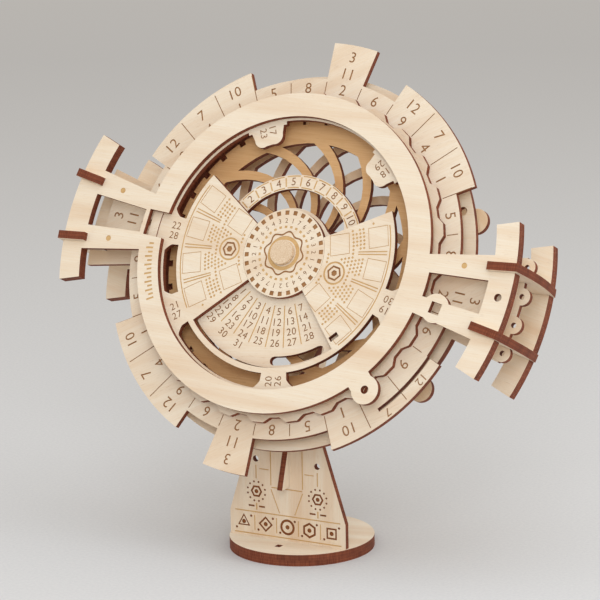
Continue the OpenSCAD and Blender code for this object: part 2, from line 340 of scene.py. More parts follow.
@dataclass(frozen=True)
class BareFace:
    """Bare, fine-grained plywood face, in four colours from the palest to the pores."""

    pale: Colour = srgb(239, 228, 211)
    warm: Colour = srgb(233, 213, 185)
    deep: Colour = srgb(205, 156, 104)
    pore: Colour = srgb(178, 132, 88)
    fibre: Layer = Layer((0.07, 2.4, 0.4), (0.3, 0.72), 0.75, 3, 0.6)
    band: Layer = Layer((0.011, 0.13, 0.05), (0.42, 0.75), 0.42)
    cloud: Layer = Layer((0.03, 0.03, 0.03), (0.35, 0.7), 0.16)
    pores: Layer = Layer((0.3, 4.6, 0.5), (0.64, 0.74))
    # how dark the pores are and how far they sink
    pore_share: float = 0.3
    pore_sink: float = 0.5
    roughness: Pair = (0.56, 0.7)
    rough_span: Pair = (0.3, 0.7)
    relief: float = 0.035

    def make(self, name: str, wood: Wood) -> bpy.types.Material:
        """Makes the face's material.

        Args:
            name: Name of the material.
            wood: The plate's wood.

        Returns:
            The material.
        """
        n = Nodes(name)
        at = wood.position(n)
        fibre, band, cloud = (n.noise(at, layer) for layer in (self.fibre, self.band, self.cloud))
        pores = n.show(n.noise(at, self.pores), self.pores)
        colour = n.mix(n.show(fibre, self.fibre), self.pale, self.warm)
        colour = n.mix(n.math("ADD", n.show(band, self.band), wood.tone), colour, self.deep)
        colour = n.mix(n.show(cloud, self.cloud), colour, self.warm)
        colour = n.mix(n.math("MULTIPLY", pores, self.pore_share), colour, self.pore)
        rough = n.span(fibre, self.rough_span, self.roughness)
        relief = n.math("SUBTRACT", fibre, n.math("MULTIPLY", pores, self.pore_sink))
        return n.finish(colour, rough, relief, self.relief)


@dataclass(frozen=True)
class ScorchedEdge:
    """Laser-cut edge: dark red-brown, three plies with thin glue lines, streaks of the beam."""

    burnt: Colour = srgb(114, 54, 35)
    lighter: Colour = srgb(160, 92, 61)
    char: Colour = srgb(58, 27, 20)
    beam: Layer = Layer((2.6, 2.6, 0.12), (0.3, 0.75), 0.8, 2, 0.6)
    patch: Layer = Layer((0.12, 0.12, 0.2), (0.45, 0.75), 0.45)
    wander: Layer = Layer((0.25, 0.25, 0.25), (0.2, 0.8))
    wander_share: Pair = (-0.06, 0.06)
    # how dark the plies and glue lines are, from the face (0) to the back (1)
    plies: tuple[Pair, ...] = (
        (0.0, 0.15), (0.3, 0.35), (0.335, 1.0), (0.37, 0.0),
        (0.64, 0.05), (0.675, 1.0), (0.71, 0.4), (1.0, 0.15),
    )
    ply_share: float = 0.5
    ply_sink: float = 0.4
    roughness: float = 0.7
    relief: float = 0.06
    specular: float = 0.25

    def make(self, name: str, wood: Wood) -> bpy.types.Material:
        """Makes the edge's material.

        Args:
            name: Name of the material.
            wood: The plate's wood; its face sets where the plies start.

        Returns:
            The material.
        """
        n = Nodes(name)
        at = wood.position(n)
        under = n.math("SUBTRACT", wood.face, n.add("SeparateXYZ", {0: at}).outputs[2])
        wander = n.span(n.noise(at, self.wander), self.wander.span, self.wander_share)
        depth = n.math("ADD", n.math("DIVIDE", under, wood.thick), wander)
        plies = n.add("ValToRGB", {0: depth})
        ramp = plies.color_ramp
        while len(ramp.elements) < len(self.plies):
            ramp.elements.new(0.5)
        for element, (where, grey) in zip(ramp.elements, self.plies):
            element.position, element.color = where, (grey, grey, grey, 1)
        dark = plies.outputs[0]
        beam, patch = (n.noise(at, layer) for layer in (self.beam, self.patch))
        colour = n.mix(n.show(beam, self.beam), self.burnt, self.lighter)
        colour = n.mix(n.math("MULTIPLY", dark, self.ply_share), colour, self.char)
        colour = n.mix(n.show(patch, self.patch), colour, self.char)
        relief = n.math("SUBTRACT", beam, n.math("MULTIPLY", dark, self.ply_sink))
        return n.finish(colour, self.roughness, relief, self.relief, self.specular)


@dataclass(frozen=True)
class Engraved:
    """Floor of an engraved place, browned by the beam in fine passes."""

    brown: Colour
    browner: Colour
    passes: Layer = Layer((0.3, 5.5, 0.3), (0.3, 0.7), 0.55, 2, 0.6)
    patch: Layer = Layer((0.25, 0.25, 0.25), (0.4, 0.7), 0.45)
    roughness: float = 0.75
    relief: float = 0.04
    specular: float = 0.2

    def make(self, name: str, wood: Wood) -> bpy.types.Material:
        """Makes the engraved floor's material.

        Args:
            name: Name of the material.
            wood: The plate's wood.

        Returns:
            The material.
        """
        n = Nodes(name)
        at = wood.position(n)
        passes, patch = (n.noise(at, layer) for layer in (self.passes, self.patch))
        share = n.math("ADD", n.show(passes, self.passes), n.show(patch, self.patch))
        colour = n.mix(share, self.brown, self.browner)
        return n.finish(colour, self.roughness, passes, self.relief, self.specular)


@dataclass(frozen=True)
class Dowel:
    """Plain turned wood with its grain along the pin and short end grain on its ends."""

    pale: Colour = srgb(232, 211, 186)
    warm: Colour = srgb(206, 176, 140)
    grain: Layer = Layer((2.2, 2.2, 0.15), (0.35, 0.7), 1.0, 3, 0.6)
    rings: Layer = Layer((0.9, 0.35, 0.05), (0.5, 0.7), 0.35)
    roughness: float = 0.6
    relief: float = 0.03

    def make(self, name: str, wood: Wood) -> bpy.types.Material:
        """Makes the dowel's material.

        Args:
            name: Name of the material.
            wood: The pin's wood, with z along the pin.

        Returns:
            The material.
        """
        n = Nodes(name)
        at = wood.position(n)
        grain, rings = (n.noise(at, layer) for layer in (self.grain, self.rings))
        colour = n.mix(n.show(grain, self.grain), self.pale, self.warm)
        colour = n.mix(n.show(rings, self.rings), colour, self.warm)
        return n.finish(colour, self.roughness, grain, self.relief)


FACE = BareFace()
# orange-brown face for the front wheel and its collar: painted shade, the warm dimness deep inside
# the head painted into the wood
PAINTED_SHADE_OCHRE = BareFace(
    srgb(232, 192, 142), srgb(214, 166, 110), srgb(184, 126, 76), srgb(156, 104, 64))
# paler face for the base's upper plate: painted light, the bright light on the base's top painted
# into its wood
PAINTED_LIGHT_CREAM = BareFace(
    srgb(246, 238, 224), srgb(241, 226, 203), srgb(214, 172, 126), srgb(186, 142, 100))
# warmer tan face for the rear wheel and its collar: painted shade, a milder dose of the warm dimness
# inside the head
PAINTED_SHADE_TAN = BareFace(
    srgb(243, 225, 199), srgb(234, 208, 173), srgb(208, 164, 118), srgb(176, 128, 88))
EDGE = ScorchedEdge()
MARK = Engraved(srgb(176, 132, 88), srgb(144, 98, 60))
HATCH = Engraved(srgb(216, 182, 130), srgb(196, 154, 100))
SEAL = Engraved(srgb(150, 94, 54), srgb(116, 66, 36))


@dataclass
class Relief:
    """Closed prisms that are cut out of a plate's face, all to one depth, in the plate's axes."""

    depth: float
    face: float = 0.0
    clear: float = 0.3
    mesh: bmesh.types.BMesh = field(default_factory=bmesh.new)

    @property
    def low(self) -> float:
        """The floor of what is cut."""
        return self.face - self.depth

    @property
    def high(self) -> float:
        """The top of the prisms, clear of the face."""
        return self.face + self.clear

    def loops(self, outer: list[Pair], inner: list[Pair] | None = None) -> None:
        """Adds one prism with a simple outline, or the ring between two outlines of equal count.

        Args:
            outer: Points of the outline, counter-clockwise.
            inner: Points of the hole's outline, counter-clockwise.
        """
        rows = [[self.mesh.verts.new((x, y, z)) for x, y in ring]
                for ring in (outer, inner or []) for z in (self.low, self.high)]
        count = len(outer)
        for i in range(count):
            j = (i + 1) % count
            self.mesh.faces.new((rows[0][i], rows[0][j], rows[1][j], rows[1][i]))
            if inner:
                self.mesh.faces.new((rows[2][j], rows[2][i], rows[3][i], rows[3][j]))
                self.mesh.faces.new((rows[1][i], rows[1][j], rows[3][j], rows[3][i]))
                self.mesh.faces.new((rows[0][j], rows[0][i], rows[2][i], rows[2][j]))
        if not inner:
            self.mesh.faces.new(rows[1])
            self.mesh.faces.new(rows[0][::-1])

    def line(self, start: Pair, end: Pair, width: float) -> None:
        """Adds a straight stroke.

        Args:
            start: Where it starts.
            end: Where it ends.
            width: Its width.
        """
        a, b = Vector(start), Vector(end)
        along = (b - a).normalized()
        side = Vector((-along.y, along.x)) * width / 2
        self.loops([tuple(p) for p in (a - side, b - side, b + side, a + side)])

    def ray(self, reach: Pair, angle: float, width: float) -> None:
        """Adds a straight stroke that runs outwards from one radius to another."""
        self.line(polar(reach[0], angle), polar(reach[1], angle), width)

    def sector(self, radii: Pair, middle: float, half: float) -> None:
        """Adds a piece of a ring.

        Args:
            radii: Inner and outer radius.
            middle: Angle of its middle in degrees.
            half: Half the angle that it spans.
        """
        first, last = middle - half, middle + half
        count = max(1, math.ceil((last - first) / FACET))
        angles = [first + (last - first) * i / count for i in range(count + 1)]
        inner, outer = radii
        self.loops([polar(outer, a) for a in angles] + [polar(inner, a) for a in reversed(angles)])

    def disc(self, centre: Pair, radius: float, sides: int, turn: float = 0.0) -> None:
        """Adds a disc or a regular polygon; the turn is its first corner's angle."""
        self.loops(self._corners(centre, radius, sides, turn))

    def hoop(self, centre: Pair, radius: float, width: float, sides: int = 28,
             turn: float = 0.0) -> None:
        """Adds a round or many-sided line; the radius is that of its middle."""
        self.loops(*(self._corners(centre, r, sides, turn)
                     for r in (radius + width / 2, radius - width / 2)))

    @staticmethod
    def _corners(centre: Pair, radius: float, sides: int, turn: float) -> list[Pair]:
        """Gives a regular polygon's corners, counter-clockwise."""
        corners = [polar(radius, turn + 360 * i / sides) for i in range(sides)]
        return [(centre[0] + x, centre[1] + y) for x, y in corners]

    def number(self, words: str, at: Pair, height: float, turn: float) -> None:
        """Adds a plain number, centred.

        Args:
            words: The digits.
            at: Its centre.
            height: Height of a digit.
            turn: Turn of the number in degrees.
        """
        fit = (
            Matrix.Translation((*at, (self.low + self.high) / 2)) @ spin(turn)
            @ Matrix.Diagonal((height, height, self.high - self.low, 1))
        )
        mesh = digits(words).copy()
        mesh.transform(fit)
        self.mesh.from_mesh(mesh)
        bpy.data.meshes.remove(mesh)


_digit_meshes: dict[str, bpy.types.Mesh] = {}


def digits(words: str) -> bpy.types.Mesh:
    """Makes a number as a closed mesh, one unit high and one unit thick, centred.

    Args:
        words: The digits.

    Returns:
        The mesh, made once for each number.
    """
    if words in _digit_meshes:
        return _digit_meshes[words]
    curve = bpy.data.curves.new("digits", "FONT")
    curve.body, curve.extrude, curve.resolution_u = words, 0.5, DIGIT_STEPS
    curve.space_character = DIGIT_SPACING
    text = new_object("digits", curve)
    bpy.context.view_layer.update()
    solid = text.evaluated_get(bpy.context.evaluated_depsgraph_get())
    mesh = bpy.data.meshes.new_from_object(solid)
    bpy.data.objects.remove(text)
    bpy.data.curves.remove(curve)
    low = Vector(map(min, *(v.co for v in mesh.vertices)))
    high = Vector(map(max, *(v.co for v in mesh.vertices)))
    middle, tall = (low + high) / 2, high.y - low.y
    mesh.transform(Matrix.Diagonal((1 / tall, 1 / tall, 1, 1)) @ Matrix.Translation(-middle))
    work = bmesh.new()
    work.from_mesh(mesh)
    bmesh.ops.remove_doubles(work, verts=work.verts, dist=DIGIT_WELD)
    bmesh.ops.recalc_face_normals(work, faces=work.faces)
    work.to_mesh(mesh)
    work.free()
    _digit_meshes[words] = mesh
    return mesh


@dataclass
class Plate:
    """One flat wooden plate: a node of the frame with its wood and what is cut into it."""

    node: str
    lie: Lie = Lie.HEAD
    face: float | None = None
    grain: float = 0.0
    tone: float = 0.0
    turn: float = 0.0
    thick: float = PLY
    marks: Relief = field(init=False)
    hatch: Relief = field(init=False)

    def __post_init__(self) -> None:
        """Sets the face's height, the plate's frame and its empty reliefs."""
        if self.face is None:
            self.face = -DEPTH[self.node]
        self.frame = place(self.lie, self.turn)
        self.marks = Relief(MARK_DEPTH, self.face)
        self.hatch = Relief(HATCH_DEPTH, self.face)

    def dress(self, ink: Engraved = MARK, bare_face: BareFace = FACE) -> None:
        """Gives the node its materials and cuts its engraving.

        Args:
            ink: Finish of the floors of the deeper engraving.
            bare_face: Finish of the plate's faces.
        """
        wood = Wood(self.frame, self.grain, self.tone, self.face, self.thick)
        finishes = {Slot.FACE: bare_face, Slot.EDGE: EDGE, Slot.MARK: ink, Slot.HATCH: HATCH}
        materials = [finish.make(f"{self.node}_{slot.name.lower()}", wood)
                     for slot, finish in finishes.items()]
        plate = frame["nodes"][self.node]
        plate.data.materials.clear()
        for material in materials:
            plate.data.materials.append(material)
        out = self.frame.to_3x3() @ Vector((0, 0, 1))
        for polygon in plate.data.polygons:
            flat = abs(polygon.normal.dot(out)) > FLAT
            polygon.material_index = (Slot.FACE if flat else Slot.EDGE).value
        reliefs = ((self.hatch, Slot.HATCH), (self.marks, Slot.MARK))
        cuts = [(relief, slot) for relief, slot in reliefs if relief.mesh.faces]
        if cuts:
            plate.modifiers.new("join", "WELD").merge_threshold = WELD
            for relief, slot in cuts:
                self._cut(plate, relief, slot, materials)
            plate.modifiers.new("crisp", "EDGE_SPLIT").split_angle = math.radians(CRISP)
        log.info("%s dressed, %d reliefs cut", self.node, len(cuts))

    def _cut(self, plate: bpy.types.Object, relief: Relief, slot: Slot,
             materials: list[bpy.types.Material]) -> None:
        """Cuts one relief out of the plate.

        Args:
            plate: The node's object.
            relief: What is cut.
            slot: Slot of the material on the cut's faces.
            materials: The plate's materials.
        """
        name = f"{self.node}_cut_{slot.value}"
        mesh = bpy.data.meshes.new(name)
        relief.mesh.to_mesh(mesh)
        mesh.transform(self.frame @ Matrix.Diagonal((MM, MM, MM, 1)))
        for material in materials:
            mesh.materials.append(material)
        for polygon in mesh.polygons:
            polygon.material_index = slot.value
        cutter = new_object(name, mesh)
        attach(cutter, plate["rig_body"])
        cutter.hide_render = cutter.hide_viewport = True
        cut = plate.modifiers.new(name, "BOOLEAN")
        cut.operation, cut.solver, cut.object = "DIFFERENCE", "MANIFOLD", cutter


@dataclass
class Stand:
    """Round two-ply base, upright stand plate with its engraving, and the spine behind it.

    On the stand plate, x is counted from its middle line and z from the table.
    """

    lower_top: float = 2.0
    upper_top: float = 4.0
    hole: Pair = (12.0, 31.8)
    seal_z: float = 20.2
    seal_hoop: Pair = (1.9, 0.75)
    seal_middle: float = 0.75
    seal_dots: int = 12
    seal_dots_at: float = 3.5
    seal_dot: float = 0.38
    # gap of the plumb line under the hole, its ends above and below the seal, and its foot's
    # height over the row; the two widths are those of its upper and lower part
    plumb_gap: float = 2.2
    plumb_ends: Pair = (4.6, 4.2)
    plumb_foot: float = 0.8
    plumb_widths: Pair = (0.4, 0.5)
    dash_z: float = 14.9
    dash_span: Pair = (0.9, 3.2)
    dash_width: float = 0.6
    # thin rules on either side and across, from x, z to x, z, with their width
    side_rules: tuple = (
        ((6.2, 23.0), (6.2, 36.4), 0.4), ((7.0, 28.4), (10.6, 28.4), 0.35),
        ((6.2, 21.6), (3.0, 13.5), 0.35),
    )
    cross_rules: tuple = (
        ((-6.0, 22.3), (6.0, 22.3), 0.4), ((-20.6, 12.8), (20.6, 12.8), 0.4),
        ((-20.9, 4.9), (20.9, 4.9), 0.4),
    )
    # the row of shapes: its lower and upper rule, its cells' width and the rules between them
    row: Pair = (4.9, 12.8)
    cell: float = 8.6
    divider_inset: float = 1.2
    divider_width: float = 0.35
    # sides and turn of the row's five shapes
    shapes: tuple[tuple[int, float], ...] = ((3, 90), (4, 90), (28, 90), (6, 90), (4, 45))
    shape_hoop: Pair = (2.4, 0.85)
    shape_dot: float = 0.8
    corner: Pair = (2.9, 2.3)
    corner_dot: float = 0.45

    def build(self) -> None:
        """Dresses the stand's plates."""
        Plate("base_lower", Lie.LEVEL, self.lower_top, grain=20).dress()
        # the upper base's paler face is painted light from above
        Plate("base_upper", Lie.LEVEL, self.upper_top, grain=12).dress(bare_face=PAINTED_LIGHT_CREAM)
        Plate("spine", Lie.SIDE, PLY / 2, grain=80, tone=0.04).dress()
        # the stand's tone of 0.1, warmer than the head's plates, is painted shade for its upright,
        # less lit face
        plate = Plate("stand_plate", Lie.FRONT, 0.0, grain=88, tone=0.1)
        for side in (-1, 1):
            self._seal(plate, side * self.hole[0])
            for (x0, z0), (x1, z1), width in self.side_rules:
                plate.hatch.line((side * x0, z0), (side * x1, z1), width)
        for start, end, width in self.cross_rules:
            plate.hatch.line(start, end, width)
        self._row(plate)
        plate.dress(SEAL)
        log.info("stand built")

    def _seal(self, plate: Plate, x: float) -> None:
        """Engraves a ring of dots under a hole, with plumb lines and dashes.

        Args:
            plate: The stand plate.
            x: Where the hole is.
        """
        marks, hatch = plate.marks, plate.hatch
        centre = (x, self.seal_z)
        above, below = self.plumb_ends
        upper, lower = self.plumb_widths
        hatch.line((x, self.hole[1] - self.plumb_gap), (x, self.seal_z + above), upper)
        marks.hoop(centre, *self.seal_hoop, sides=6)
        marks.disc(centre, self.seal_middle, sides=12)
        for k in range(self.seal_dots):
            dx, dz = polar(self.seal_dots_at, (k + 0.5) * 360 / self.seal_dots)
            marks.disc((x + dx, self.seal_z + dz), self.seal_dot, sides=8)
        hatch.line((x, self.seal_z - below), (x, self.row[1] + self.plumb_foot), lower)
        near, far = self.dash_span
        for start, end in ((-far, -near), (near, far)):
            marks.line((x + start, self.dash_z), (x + end, self.dash_z), self.dash_width)

    def _row(self, plate: Plate) -> None:
        """Engraves five simple shapes in a row, with rules between them.

        Args:
            plate: The stand plate.
        """
        marks, (low, high) = plate.marks, self.row
        middle = (low + high) / 2
        left = -(len(self.shapes) - 1) / 2 * self.cell
        for k, (sides, turn) in enumerate(self.shapes):
            x = left + k * self.cell
            marks.hoop((x, middle), *self.shape_hoop, sides, turn)
            marks.disc((x, middle), self.shape_dot, sides=10)
            for s in (-1, 1):
                dot = (x + s * self.corner[0], middle + s * self.corner[1])
                marks.disc(dot, self.corner_dot, sides=8)
        for k in range(len(self.shapes) - 1):
            x, inset = left + (k + 0.5) * self.cell, self.divider_inset
            plate.hatch.line((x, low + inset), (x, high - inset), self.divider_width)


@dataclass
class Cage:
    """Front, middle and rear plates with their arms, the ribs through them, and fixed rings."""

    # small dots on the arms: their radius, angle from the arm's middle and size
    dot_at: float = 68.2
    dot_offset: float = 7.3
    dot: float = 1.0
    # each dot's arm, by its angle, and side of the arm's middle
    dots: tuple[tuple[float, int], ...] = ((0, 1), (180, -1), (180, 1))
    # the scale on the ring: its first line's angle, their step, and how far they reach by turns
    scale_from: float = 188.0
    scale_step: float = 1.7
    scale_lines: int = 14
    scale_half: float = 0.35
    scale_inner: float = 49.6
    scale_outer: Pair = (51.4, 52.4)
    rib_thick: float = 2.8
    # each plate's angle of grain, and each rib's turn about the head
    grains: tuple[tuple[str, float], ...] = (
        ("front_arc_left", 86), ("front_arc_right", 94), ("rear_arc_left", 80),
        ("rear_arc_right", 98), ("race_ring", 30), ("guide_ring_front", 60),
        ("guide_ring_middle", 15), ("guide_ring_back", 75), ("rear_boss", 40),
    )
    ribs: tuple[tuple[str, float], ...] = (
        ("rib_right_upper", 7.5), ("rib_right_lower", -7.5),
        ("rib_left_upper", 172.5), ("rib_left_lower", 187.5),
    )

    def build(self) -> None:
        """Dresses the cage."""
        front = Plate("front_plate", grain=4)
        for arm, side in self.dots:
            at = polar(self.dot_at, arm + side * self.dot_offset)
            front.hatch.disc(at, self.dot, sides=16)
        for k in range(self.scale_lines):
            radii = (self.scale_inner, self.scale_outer[k % 2])
            front.hatch.sector(radii, self.scale_from + self.scale_step * k, self.scale_half)
        front.dress()
        Plate("mid_plate", grain=10, tone=0.06).dress()
        Plate("rear_plate", grain=-8, tone=0.06).dress()
        for name, grain in self.grains:
            Plate(name, grain=grain, tone=0.05).dress()
        thick = self.rib_thick
        for name, turn in self.ribs:
            Plate(name, Lie.RIB, thick / 2, grain=90, turn=turn, thick=thick).dress()
        log.info("cage built")


@dataclass
class Axle:
    """Wooden pin with its cap and the hidden spacers."""

    spacers: tuple[str, ...] = ("spacer_front", "spacer_middle", "spacer_rear")
    turned: tuple[str, ...] = ("axle", "axle_cap")
    wood: Dowel = Dowel()

    def build(self) -> None:
        """Dresses the pin, the cap and the spacers."""
        for name in self.spacers:
            Plate(name, tone=0.1).dress()
        for name in self.turned:
            node = frame["nodes"][name]
            node.data.materials.clear()
            node.data.materials.append(self.wood.make(name + "_wood", Wood(place(Lie.HEAD))))
            log.info("%s dressed", name)
        log.info("axle built")


@dataclass
class Months:
    """Stepped month ring with its numbers, and the lobed ring in front of it."""

    # the ring's turn, and the radii of its face's inner edge, its short sectors and its blocks
    turn: float = -0.8
    inner: float = 57.6
    short: float = 62.6
    block: float = 69.5
    # one quarter's sectors, clockwise, with their numbers from the outside in
    words: tuple = (("3", "11", "2"), ("6",), ("12", "9"), ("7", "4"), ("10", "1"), ("5",), ("8",))
    # radii of a sector's numbers, by how many it has
    radii: tuple = ((59.3,), (65.2, 58.9), (71.2, 65.2, 59.4))
    height: float = 3.7
    # the quarter and the sectors beside the slit, whose outer number stands on a narrow band
    slit_quarter: int = 3
    slit_sectors: tuple[int, ...] = (2, 3)
    band_at: float = 67.5
    band_height: float = 2.8
    line_gap: float = 1.0
    line_width: float = 0.3

    def build(self) -> None:
        """Dresses both rings."""
        ring = Plate("month_ring", grain=35)
        for quarter in range(4):
            for k, words in enumerate(self.words):
                angle = 90 * (quarter + 1) + self.turn - k * SECTOR
                beside_slit = quarter == self.slit_quarter and k in self.slit_sectors
                self._sector(ring, angle, words, beside_slit)
        ring.dress()
        Plate("detent_ring", grain=-20, tone=0.05).dress()
        log.info("month ring built")

    def _sector(self, ring: Plate, angle: float, words: tuple[str, ...],
                beside_slit: bool) -> None:
        """Engraves one sector's numbers and the line after it.

        Args:
            ring: The month ring.
            angle: Angle of the sector's middle.
            words: Its numbers, from the outside in.
            beside_slit: Whether the outer number stands on the narrow band outside the slit.
        """
        for word, radius in zip(words, self.radii[len(words) - 1]):
            height = self.height
            if beside_slit and radius > self.short:
                radius, height = self.band_at, self.band_height
            ring.marks.number(word, polar(radius, angle), height, angle - 90)
        rim = self.block if len(words) == 2 else self.short
        reach = (self.inner, rim - self.line_gap)
        ring.marks.ray(reach, angle - SECTOR / 2, self.line_width)


@dataclass
class Mask:
    """Year mask: ringed disc with two wings, a pattern of plain cells, and numbered tongues.

    Angles on a wing are counted from its middle.
    """

    # each label's angle and its two numbers
    labels: tuple[tuple[float, str, str], ...] = (
        (116.4, "17", "23"), (52.1, "18", "29"), (-12.2, "19", "30"),
        (-76.4, "20", "26"), (-141.5, "21", "27"), (180.7, "22", "28"),
    )
    label_at: float = 43.9
    label_height: float = 2.5
    label_shift: float = 1.75
    wings: Pair = (187.2, -7.7)
    outer_cells: tuple[float, ...] = (-28.5, -10.0, 9.5, 28.0)
    inner_cells: tuple[float, ...] = (-27.0, 27.0)
    outer_at: float = 35.2
    inner_at: float = 21.0
    # half of a cell's side, and the width of its outline
    cell: float = 3.5
    cell_line: float = 0.3
    emblem_rings: tuple[Pair, ...] = ((3.7, 0.6), (2.4, 0.7))
    emblem_dot: float = 1.1
    emblem_clear: float = 4.7
    # pairs of rules between the outer cells
    rules: tuple[float, ...] = (-19.2, 0.0, 19.0)
    rule_reach: Pair = (28.0, 38.6)
    rule_offset: float = 0.8
    rule_width: float = 0.4
    rule_clear: float = 1.4
    rule_clear_from: float = 27.0
    border: Pair = (39.4, 39.8)
    border_half: float = 33.0
    # lattice of dots: how far apart, between which radii, how far to either side, and the gap
    # to the wing's edge, given as its angle at a radius of 1
    pitch: float = 1.3
    reach: Pair = (17.0, 34.0)
    half_span: float = 37.0
    edge_gap: float = 50.0
    dot: float = 0.5
    dot_clear: float = 0.7

    def build(self) -> None:
        """Dresses the mask."""
        mask = Plate("year_mask", grain=-2)
        for angle, *words in self.labels:
            for word, shift in zip(words, (self.label_shift, -self.label_shift)):
                at = polar(self.label_at, angle - math.degrees(shift / self.label_at))
                mask.marks.number(word, at, self.label_height, angle - 180)
        for middle in self.wings:
            self._wing(mask, middle)
        mask.dress()
        log.info("year mask built")

    @property
    def cells(self) -> list[Pair]:
        """Radius and angle of each bare cell of a wing."""
        outer = [(self.outer_at, angle) for angle in self.outer_cells]
        return outer + [(self.inner_at, angle) for angle in self.inner_cells]

    def _wing(self, mask: Plate, middle: float) -> None:
        """Engraves one wing: bare square cells with a fine lattice of dots around them.

        Args:
            mask: The year mask.
            middle: Angle of the wing's middle.
        """
        marks, hatch = mask.marks, mask.hatch
        for radius, angle in self.cells:
            centre, turn = polar(radius, middle + angle), middle + angle + 45
            hatch.hoop(centre, self.cell * math.sqrt(2), self.cell_line, sides=4, turn=turn)
        emblem = polar(self.inner_at, middle)
        hatch.hoop(emblem, *self.emblem_rings[0])
        marks.hoop(emblem, *self.emblem_rings[1], sides=6, turn=middle)
        marks.disc(emblem, self.emblem_dot, sides=6, turn=middle)
        for rule in self.rules:
            for offset in (-self.rule_offset, self.rule_offset):
                hatch.ray(self.rule_reach, middle + rule + offset, self.rule_width)
        hatch.sector(self.border, middle, self.border_half)
        self._lattice(mask, middle)

    def _lattice(self, mask: Plate, middle: float) -> None:
        """Engraves the dots that fill a wing around its cells.

        Args:
            mask: The year mask.
            middle: Angle of the wing's middle.
        """
        low, high = self.reach
        for row in range(int((high - low) / self.pitch) + 1):
            radius = low + row * self.pitch
            step = math.degrees(self.pitch / radius)
            count = int((self.half_span - self.edge_gap / radius) / step)
            for k in range(-count, count + 1):
                angle = (k + 0.5 * (row % 2)) * step
                if self._free(radius, angle):
                    at = polar(radius, middle + angle)
                    mask.hatch.disc(at, self.dot, sides=4, turn=middle + angle)

    def _free(self, radius: float, angle: float) -> bool:
        """Says whether a dot stays clear of the cells, the rules and the emblem.

        Args:
            radius: The dot's radius.
            angle: The dot's angle.

        Returns:
            True where the dot may be cut.
        """
        clear = self.cell + self.dot_clear
        for cell_radius, cell_angle in self.cells:
            x, y = polar(radius, angle - cell_angle)
            if abs(x - cell_radius) < clear and abs(y) < clear:
                return False
        aside = min(abs(angle - rule) for rule in self.rules) * math.radians(radius)
        if aside < self.rule_clear and radius > self.rule_clear_from:
            return False
        x, y = polar(radius, angle)
        return math.hypot(x - self.inner_at, y) > self.emblem_clear


@dataclass
class Dials:
    """Weekday dial, and the date plate with its band and table."""

    outer_cells: Pair = (13.3, 14.8)
    inner_cells: Pair = (8.7, 9.5)
    cell_half: float = 3.0
    days: int = 7
    day_at: float = 11.3
    day_height: float = 1.6
    # the scalloped line round the cap: its radius, swing, number of lobes and half its width
    wave_at: float = 7.0
    wave_swing: float = 0.55
    wave_lobes: int = 8
    wave_half: float = 0.3
    wave_step: int = 5
    cap_hoop: Pair = (5.3, 1.3)
    # the band of numbers 1 to 11 on the date plate
    band: Pair = (23.0, 27.9)
    band_numbers: int = 11
    band_number_at: float = 25.55
    band_height: float = 2.7
    band_rule_width: float = 0.5
    border_inset: float = 0.45
    border_half: float = 0.2
    border_span: float = 5.2
    # the table of dates, read from below
    dates: int = 31
    table_middle: float = 268.0
    table_step: float = 12.2
    table_rows: tuple[float, ...] = (19.6, 23.2, 26.8, 30.4, 34.0)
    table_height: float = 2.5
    table_rule: Pair = (17.6, 32.0)
    table_rule_width: float = 0.4

    def build(self) -> None:
        """Dresses the dials."""
        self._weekdays()
        self._dates()
        log.info("dials built")

    def _weekdays(self) -> None:
        """Engraves the weekday dial's cells and numbers, and the scalloped line round the cap."""
        dial = Plate("hub_dial", grain=25)
        for k in range(SECTORS):
            angle = k * SECTOR
            day = str(k % self.days + 1)
            dial.marks.sector(self.outer_cells, angle, self.cell_half)
            dial.marks.number(day, polar(self.day_at, angle), self.day_height, angle - 90)
            dial.hatch.sector(self.inner_cells, angle, self.cell_half)
        wave = [(a, self.wave_at + self.wave_swing * math.cos(math.radians(self.wave_lobes * a)))
                for a in range(0, 360, self.wave_step)]
        dial.marks.loops(*([polar(radius + shift, a) for a, radius in wave]
                           for shift in (self.wave_half, -self.wave_half)))
        dial.hatch.hoop((0, 0), *self.cap_hoop, sides=36)
        dial.dress()

    def _dates(self) -> None:
        """Engraves the date plate's band of numbers and its table of dates."""
        plate = Plate("date_plate", grain=12)
        marks, hatch = plate.marks, plate.hatch
        low, high = self.band
        inset = self.border_inset
        for number in range(1, self.band_numbers + 1):
            angle = 90 - (number - (self.band_numbers + 1) / 2) * SECTOR
            at = polar(self.band_number_at, angle)
            marks.number(str(number), at, self.band_height, angle - 90)
            rule = (low + 2 * inset, high - 2 * inset)
            hatch.ray(rule, angle + SECTOR / 2, self.band_rule_width)
            for border in (low + inset, high - inset):
                radii = (border - self.border_half, border + self.border_half)
                hatch.sector(radii, angle, self.border_span)
        for k in range(self.days - 1):
            hatch.ray(self.table_rule, self._column(k + 0.5), self.table_rule_width)
        for date in range(self.dates):
            row, column = divmod(date, self.days)
            angle = self._column(column)
            at = polar(self.table_rows[row], angle)
            marks.number(str(date + 1), at, self.table_height, angle + 90)
        plate.dress()

    def _column(self, column: float) -> float:
        """Gives the angle of a column of the table, counted from 0."""
        return self.table_middle + (column - (self.days - 1) / 2) * self.table_step


@dataclass
class Wheels:
    """Two spiral wheels of opposite hands and their collars."""

    # each piece's angle of grain and its finish; the warmer, darker wood and the tone of 0.1 are
    # painted shade for wheels deep inside the head
    pieces: tuple[tuple[str, float, BareFace], ...] = (
        ("front_wheel", 5, PAINTED_SHADE_OCHRE), ("front_wheel_collar", 50, PAINTED_SHADE_OCHRE),
        ("rear_wheel", -30, PAINTED_SHADE_TAN), ("rear_wheel_collar", 10, PAINTED_SHADE_TAN),
    )

    def build(self) -> None:
        """Dresses the wheels."""
        for name, grain, finish in self.pieces:
            Plate(name, grain=grain, tone=0.1).dress(bare_face=finish)
        log.info("spiral wheels built")


